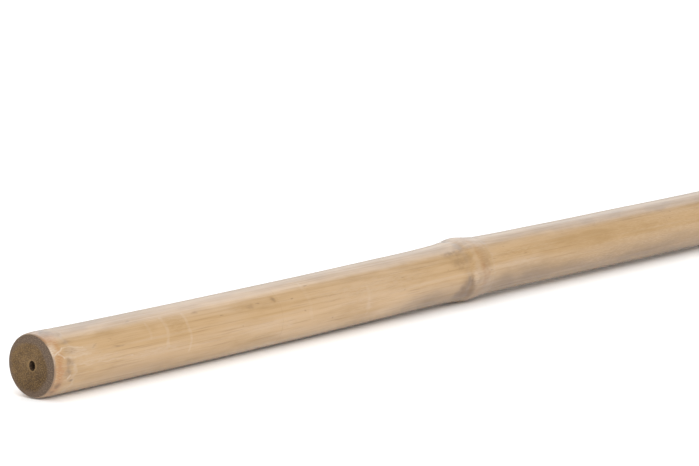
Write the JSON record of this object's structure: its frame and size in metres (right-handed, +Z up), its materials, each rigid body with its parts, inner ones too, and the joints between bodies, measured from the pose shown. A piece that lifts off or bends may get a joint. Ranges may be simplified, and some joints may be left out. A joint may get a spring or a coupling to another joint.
{
  "type": "bamboo cane",
  "caption": "Sawn length of thick-walled bamboo culm with swollen node rings, rounded ends and a narrow pith hole in each cut face, lying on its side.",
  "frame": {"origin": "middle of the surface under the cane as it lies, at the bottom centre of its bounding box", "axes": "+X along the cane from its thicker butt end to its tip end, +Z up from the surface it lies on, +Y across it"},
  "size_m": [1.2, 0.028, 0.0238],
  "materials": {
    "bamboo": "satin waxy culm skin, straw to tan, with darker dry sawn ends"
  },
  "bodies": {
    "root": {"cane": "bamboo"}
  },
  "joints": []
}
